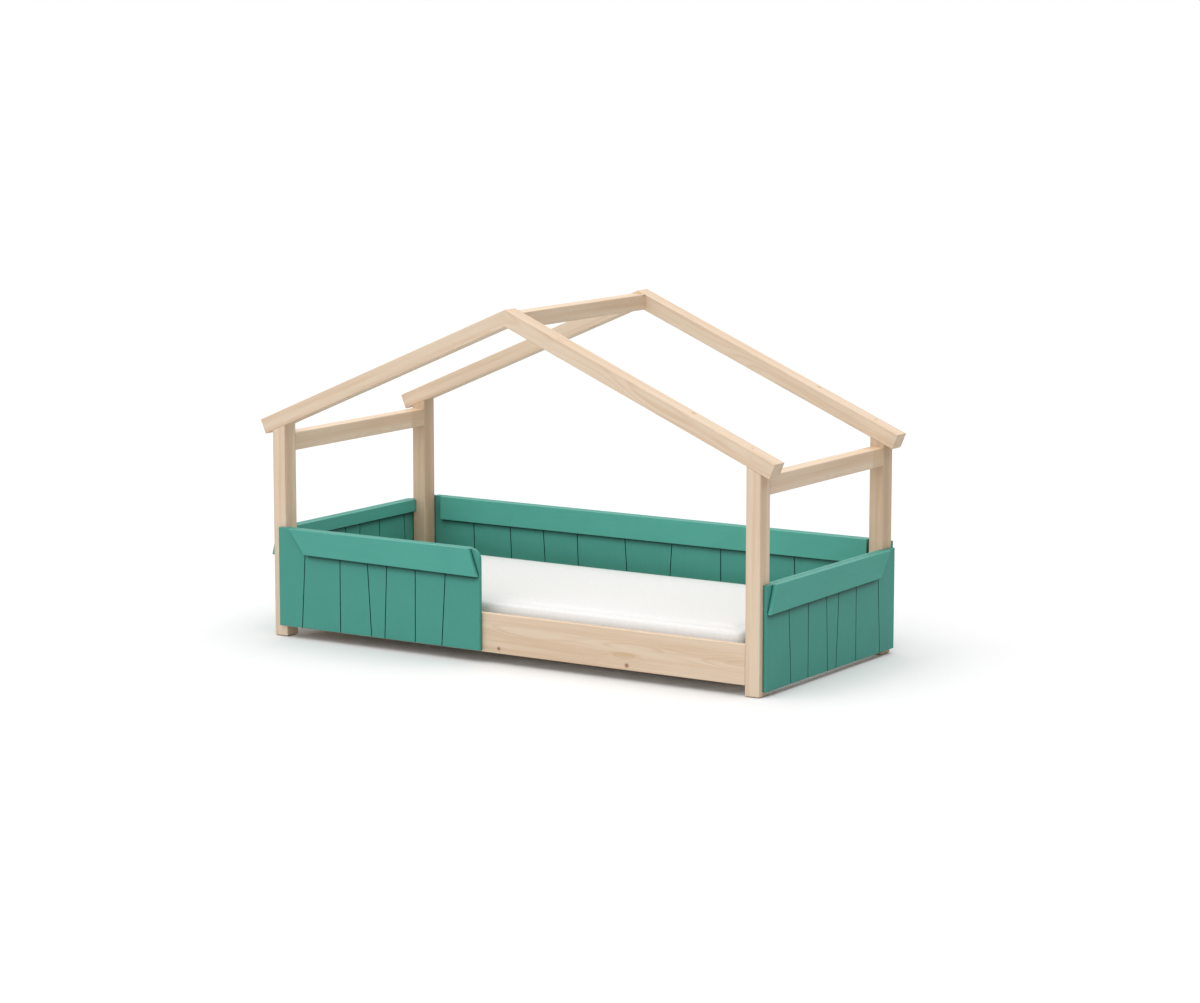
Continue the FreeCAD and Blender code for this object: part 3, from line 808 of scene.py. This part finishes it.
def makeScrewTree():
    sizes = ("Top Radius", "Bottom Radius", "Height", "Base", "Drive Radius", "Drive Depth")
    tree, given = openGroup("screw heads", "GeometryNodeTree", [
        ("Geometry", "INPUT", "Geometry"),
        *((size, "INPUT", "Float") for size in sizes),
        ("Seed", "INPUT", "Int"),
        ("Material", "INPUT", "Material"),
        ("Geometry", "OUTPUT", "Geometry"),
    ])
    head = addNode(
        tree, "GeometryNodeMeshCone",
        {"Vertices": screws["headSides"], "Radius Top": given["Top Radius"],
         "Radius Bottom": given["Bottom Radius"], "Depth": given["Height"]},
    )
    drive = addNode(
        tree, "GeometryNodeMeshCylinder",
        {"Vertices": screws["driveSides"], "Radius": given["Drive Radius"], "Depth": screws["driveTool"]},
    )
    sunk = addNode(
        tree, "ShaderNodeMath", {0: given["Height"], 1: given["Drive Depth"]}, operation="SUBTRACT"
    )
    raised = addNode(tree, "ShaderNodeMath", {0: sunk, 1: screws["driveTool"] / 2}, operation="ADD")
    driveOffset = addNode(tree, "ShaderNodeCombineXYZ", {"Z": raised})
    drivePlaced = addNode(
        tree, "GeometryNodeTransform", {"Geometry": drive.outputs["Mesh"], "Translation": driveOffset}
    )
    cut = addNode(
        tree, "GeometryNodeMeshBoolean", {0: head.outputs["Mesh"], 1: drivePlaced},
        operation="DIFFERENCE",
    )
    baseOffset = addNode(tree, "ShaderNodeCombineXYZ", {"Z": given["Base"]})
    seated = addNode(tree, "GeometryNodeTransform", {"Geometry": cut, "Translation": baseOffset})
    outward = addNode(
        tree, "GeometryNodeInputNamedAttribute", {"Name": "outward"}, data_type="FLOAT_VECTOR"
    )
    aim = addNode(tree, "FunctionNodeAlignRotationToVector", {"Vector": outward}, axis="Z")
    placed = addNode(
        tree, "GeometryNodeInstanceOnPoints",
        {"Points": given["Geometry"], "Instance": seated, "Rotation": aim},
    )
    turn = addNode(
        tree, "FunctionNodeRandomValue", {"Seed": given["Seed"], 2: 0.0, 3: math.pi}, data_type="FLOAT"
    )
    spin = addNode(tree, "ShaderNodeCombineXYZ", {"Z": turn.outputs[1]})
    spun = addNode(tree, "GeometryNodeRotateInstances", {"Instances": placed, "Rotation": spin})
    return finishTree(tree, spun, given["Material"])


def runTree(name, tree, points, outwards, values):
    # points carry the pieces, and outwards says which way each one faces
    mesh = bpy.data.meshes.new(name)
    mesh.from_pydata(points, [], [])
    directions = mesh.attributes.new("outward", "FLOAT_VECTOR", "POINT")
    directions.data.foreach_set("vector", [part for outward in outwards for part in outward])
    piece = newObject(name, mesh)
    modifier = piece.modifiers.new(name, "NODES")
    modifier.node_group = tree
    sockets = [item for item in tree.interface.items_tree if item.in_out == "INPUT"]
    identifiers = {item.name: item.identifier for item in sockets}
    for socket, value in values.items():
        modifier[identifiers[socket]] = value
    bpy.context.view_layer.update()
    replaceMesh(piece)
    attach(piece, "frame")


screwTree = makeScrewTree()


def makeScrews(name, points, outwards, sunk):
    top = screws["headRadius"]
    if sunk:
        shape = {
            "Top Radius": top, "Bottom Radius": screws["neckRadius"],
            "Base": screws["proud"] - screws["headHeight"],
        }
    else:
        shape = {"Top Radius": top * screws["panShare"], "Bottom Radius": top, "Base": 0.0}
    values = {
        **shape, "Height": screws["headHeight"], "Drive Radius": screws["driveRadius"],
        "Drive Depth": screws["driveDepth"], "Seed": screws["seed"], "Material": zinc,
    }
    runTree(name, screwTree, points, outwards, values)


bracketScrews = {  # as the CAD brackets and their holes are
    "inset": 0.016, "spacing": 0.036, "leg": 0.040, "thickness": 0.0025, "middle": 0.148,
}


def bracketScrewPlaces():
    points = []
    outwards = []
    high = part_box("corner_brackets")[1]
    thickness = bracketScrews["thickness"]
    run = bracketScrews["leg"] - bracketScrews["inset"]
    for signX in (-1, 1):
        for signY in (-1, 1):
            cornerX = high[0] * signX
            cornerY = high[1] * signY
            for step in (-0.5, 0.5):
                z = bracketScrews["middle"] + step * bracketScrews["spacing"]
                points.append((cornerX - signX * run, cornerY - signY * thickness, z))
                outwards.append((0, -signY, 0))
                points.append((cornerX - signX * thickness, cornerY - signY * run, z))
                outwards.append((-signX, 0, 0))
    return points, outwards


guardScrews = {  # heights of the rows, then places along each side
    "rows": (0.125, 0.172),
    "front": (-0.229, -0.587, -0.945),
    "rear": (-0.92, -0.46, 0.0, 0.46, 0.92),
    "ends": (-0.287, 0.310),
}


def guardScrewPlaces():
    points = []
    outwards = []
    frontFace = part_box("side_rail_front")[1][1]
    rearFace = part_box("side_rail_rear")[0][1]
    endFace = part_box("end_rail_right")[0][0]
    for z in guardScrews["rows"]:
        for x in guardScrews["front"]:
            points.append((x, frontFace, z))
            outwards.append((0, 1, 0))
        for x in guardScrews["rear"]:
            points.append((x, rearFace, z))
            outwards.append((0, -1, 0))
        for sign in (-1, 1):
            for y in guardScrews["ends"]:
                points.append((sign * endFace, y, z))
                outwards.append((-sign, 0, 0))
    return points, outwards


deckScrews = {"perLedger": 4, "span": 1.76}


def deckScrewPlaces():  # through each ledger, and down through both end slats
    points = []
    outwards = []
    span = deckScrews["span"]
    for side, sign in (("front", -1), ("rear", 1)):
        low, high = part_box(f"ledger_{side}")
        inner = min(abs(low[1]), abs(high[1])) * sign
        for index in range(deckScrews["perLedger"]):
            x = -span / 2 + span * index / (deckScrews["perLedger"] - 1)
            points.append((x, inner, halfway(low, high, 2)))
            outwards.append((0, -sign, 0))
        for slat in (slatNames[0], slatNames[-1]):
            slatLow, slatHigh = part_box(slat)
            points.append((halfway(slatLow, slatHigh, 0), halfway(low, high, 1), slatHigh[2]))
            outwards.append((0, 0, 1))
    return points, outwards


makeScrews("bracketScrews", *bracketScrewPlaces(), sunk=False)
makeScrews("guardScrews", *guardScrewPlaces(), sunk=True)
makeScrews("deckScrews", *deckScrewPlaces(), sunk=True)
print("screws made")


staples = {"crown": 0.010, "wire": 0.0010, "spread": 0.008}  # two hold each slat to each strap


def makeStapleTree():
    tree, given = openGroup("staples", "GeometryNodeTree", [
        ("Geometry", "INPUT", "Geometry"),
        ("Crown", "INPUT", "Float"),
        ("Wire", "INPUT", "Float"),
        ("Material", "INPUT", "Material"),
        ("Geometry", "OUTPUT", "Geometry"),
    ])
    size = addNode(
        tree, "ShaderNodeCombineXYZ", {"X": given["Wire"], "Y": given["Crown"], "Z": given["Wire"]}
    )
    crown = addNode(tree, "GeometryNodeMeshCube", {"Size": size})
    placed = addNode(
        tree, "GeometryNodeInstanceOnPoints",
        {"Points": given["Geometry"], "Instance": crown.outputs["Mesh"]},
    )
    return finishTree(tree, placed, given["Material"])


def makeStaples():
    points = []
    for strap in ("slat_strap_front", "slat_strap_rear"):
        low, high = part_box(strap)
        for slat in slatNames:
            x = halfway(*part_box(slat), 0)
            for sign in (-1, 1):
                points.append((x + sign * staples["spread"], halfway(low, high, 1), low[2]))
    values = {"Crown": staples["crown"], "Wire": staples["wire"], "Material": zinc}
    runTree("slatStaples", makeStapleTree(), points, [(0, 0, -1)] * len(points), values)


makeStaples()
print("staples made")


# ---- floor, light and camera ----

studio = {
    "floorSize": 120.0,
    "floorSeen": 0.89,      # the floor's white as the camera sees it
    "floorBounce": 0.64,    # and as it lights the bed
    "sky": 0.29,
    "frontGlow": 1.02,      # a broad pale wall of light at the front, a little to the left
    "glowFrom": (-0.32, -0.93, 0.18),
    "glowEdge": 0.2,        # cosine from its middle at which the glow ends
    "keyFrom": (0.06, 0.10, 1.0),
    "keySpread": 95,        # degrees, like a large overhead softbox
    "keyPower": 2.2,
}


def makeFloor():
    half = studio["floorSize"] / 2
    corners = [(-half, -half, 0), (half, -half, 0), (half, half, 0), (-half, half, 0)]
    mesh = bpy.data.meshes.new("floor")
    mesh.from_pydata(corners, [], [(0, 1, 2, 3)])
    floor = newObject("floor", mesh)
    material, tree = newMaterial("painted studio floor")
    rays = addNode(tree, "ShaderNodeLightPath")
    whites = limits(0.0, 1.0, studio["floorBounce"], studio["floorSeen"])
    white = addNode(tree, "ShaderNodeMapRange", {"Value": rays.outputs["Is Camera Ray"], **whites})
    finishMaterial(tree, addNode(tree, "ShaderNodeBsdfDiffuse", {"Color": white}))
    mesh.materials.append(material)


def makeSky():
    world = bpy.data.worlds.new("white studio")
    world.use_nodes = True
    tree = world.node_tree
    tree.nodes.clear()
    rays = addNode(tree, "ShaderNodeLightPath").outputs
    shown = addNode(
        tree, "ShaderNodeMath", {0: rays["Is Camera Ray"], 1: rays["Is Glossy Ray"]},
        operation="MAXIMUM",
    )
    seen = addNode(
        tree, "ShaderNodeMath", {0: shown, 1: rays["Is Transmission Ray"]}, operation="MAXIMUM"
    )
    direction = addNode(tree, "ShaderNodeTexCoord").outputs["Generated"]
    toFront = addNode(
        tree, "ShaderNodeVectorMath", {0: direction, 1: studio["glowFrom"]}, operation="DOT_PRODUCT"
    )
    glow = limits(studio["glowEdge"], 1.0, studio["sky"], studio["sky"] + studio["frontGlow"])
    light = addNode(
        tree, "ShaderNodeMapRange", {"Value": toFront.outputs["Value"], **glow},
        interpolation_type="SMOOTHSTEP",
    )
    strength = addNode(tree, "ShaderNodeMapRange", {"Value": seen, **limits(0.0, 1.0, light, 1.0)})
    sky = addNode(tree, "ShaderNodeBackground", {"Color": (1, 1, 1, 1), "Strength": strength})
    addNode(tree, "ShaderNodeOutputWorld", {"Surface": sky})
    scene.world = world


def makeKeyLight():
    light = bpy.data.lights.new("overhead softbox", "SUN")
    light.angle = math.radians(studio["keySpread"])
    light.energy = studio["keyPower"]
    lamp = newObject("overhead softbox", light)
    lamp.rotation_euler = Vector(studio["keyFrom"]).to_track_quat("Z", "Y").to_euler()


cameraFit = {  # fitted to the corners of the posts, rafters and guards in the photograph
    "place": (7.0537, -10.8139, 2.5664),
    "angles": (81.166, 0.0, 32.747),  # degrees
    "lens": 101.42,                   # mm, on a sensor as wide as the next value
    "sensor": 36,
    "clipEnd": 200,
}


def makeCamera():
    camera = newObject("camera", bpy.data.cameras.new("camera"))
    camera.location = cameraFit["place"]
    camera.rotation_euler = [math.radians(angle) for angle in cameraFit["angles"]]
    camera.data.sensor_fit = "HORIZONTAL"
    camera.data.sensor_width = cameraFit["sensor"]
    camera.data.lens = cameraFit["lens"]
    camera.data.clip_end = cameraFit["clipEnd"]
    scene.camera = camera


makeFloor()
makeSky()
makeKeyLight()
makeCamera()
scene.view_settings.view_transform = "Standard"
print("studio made")
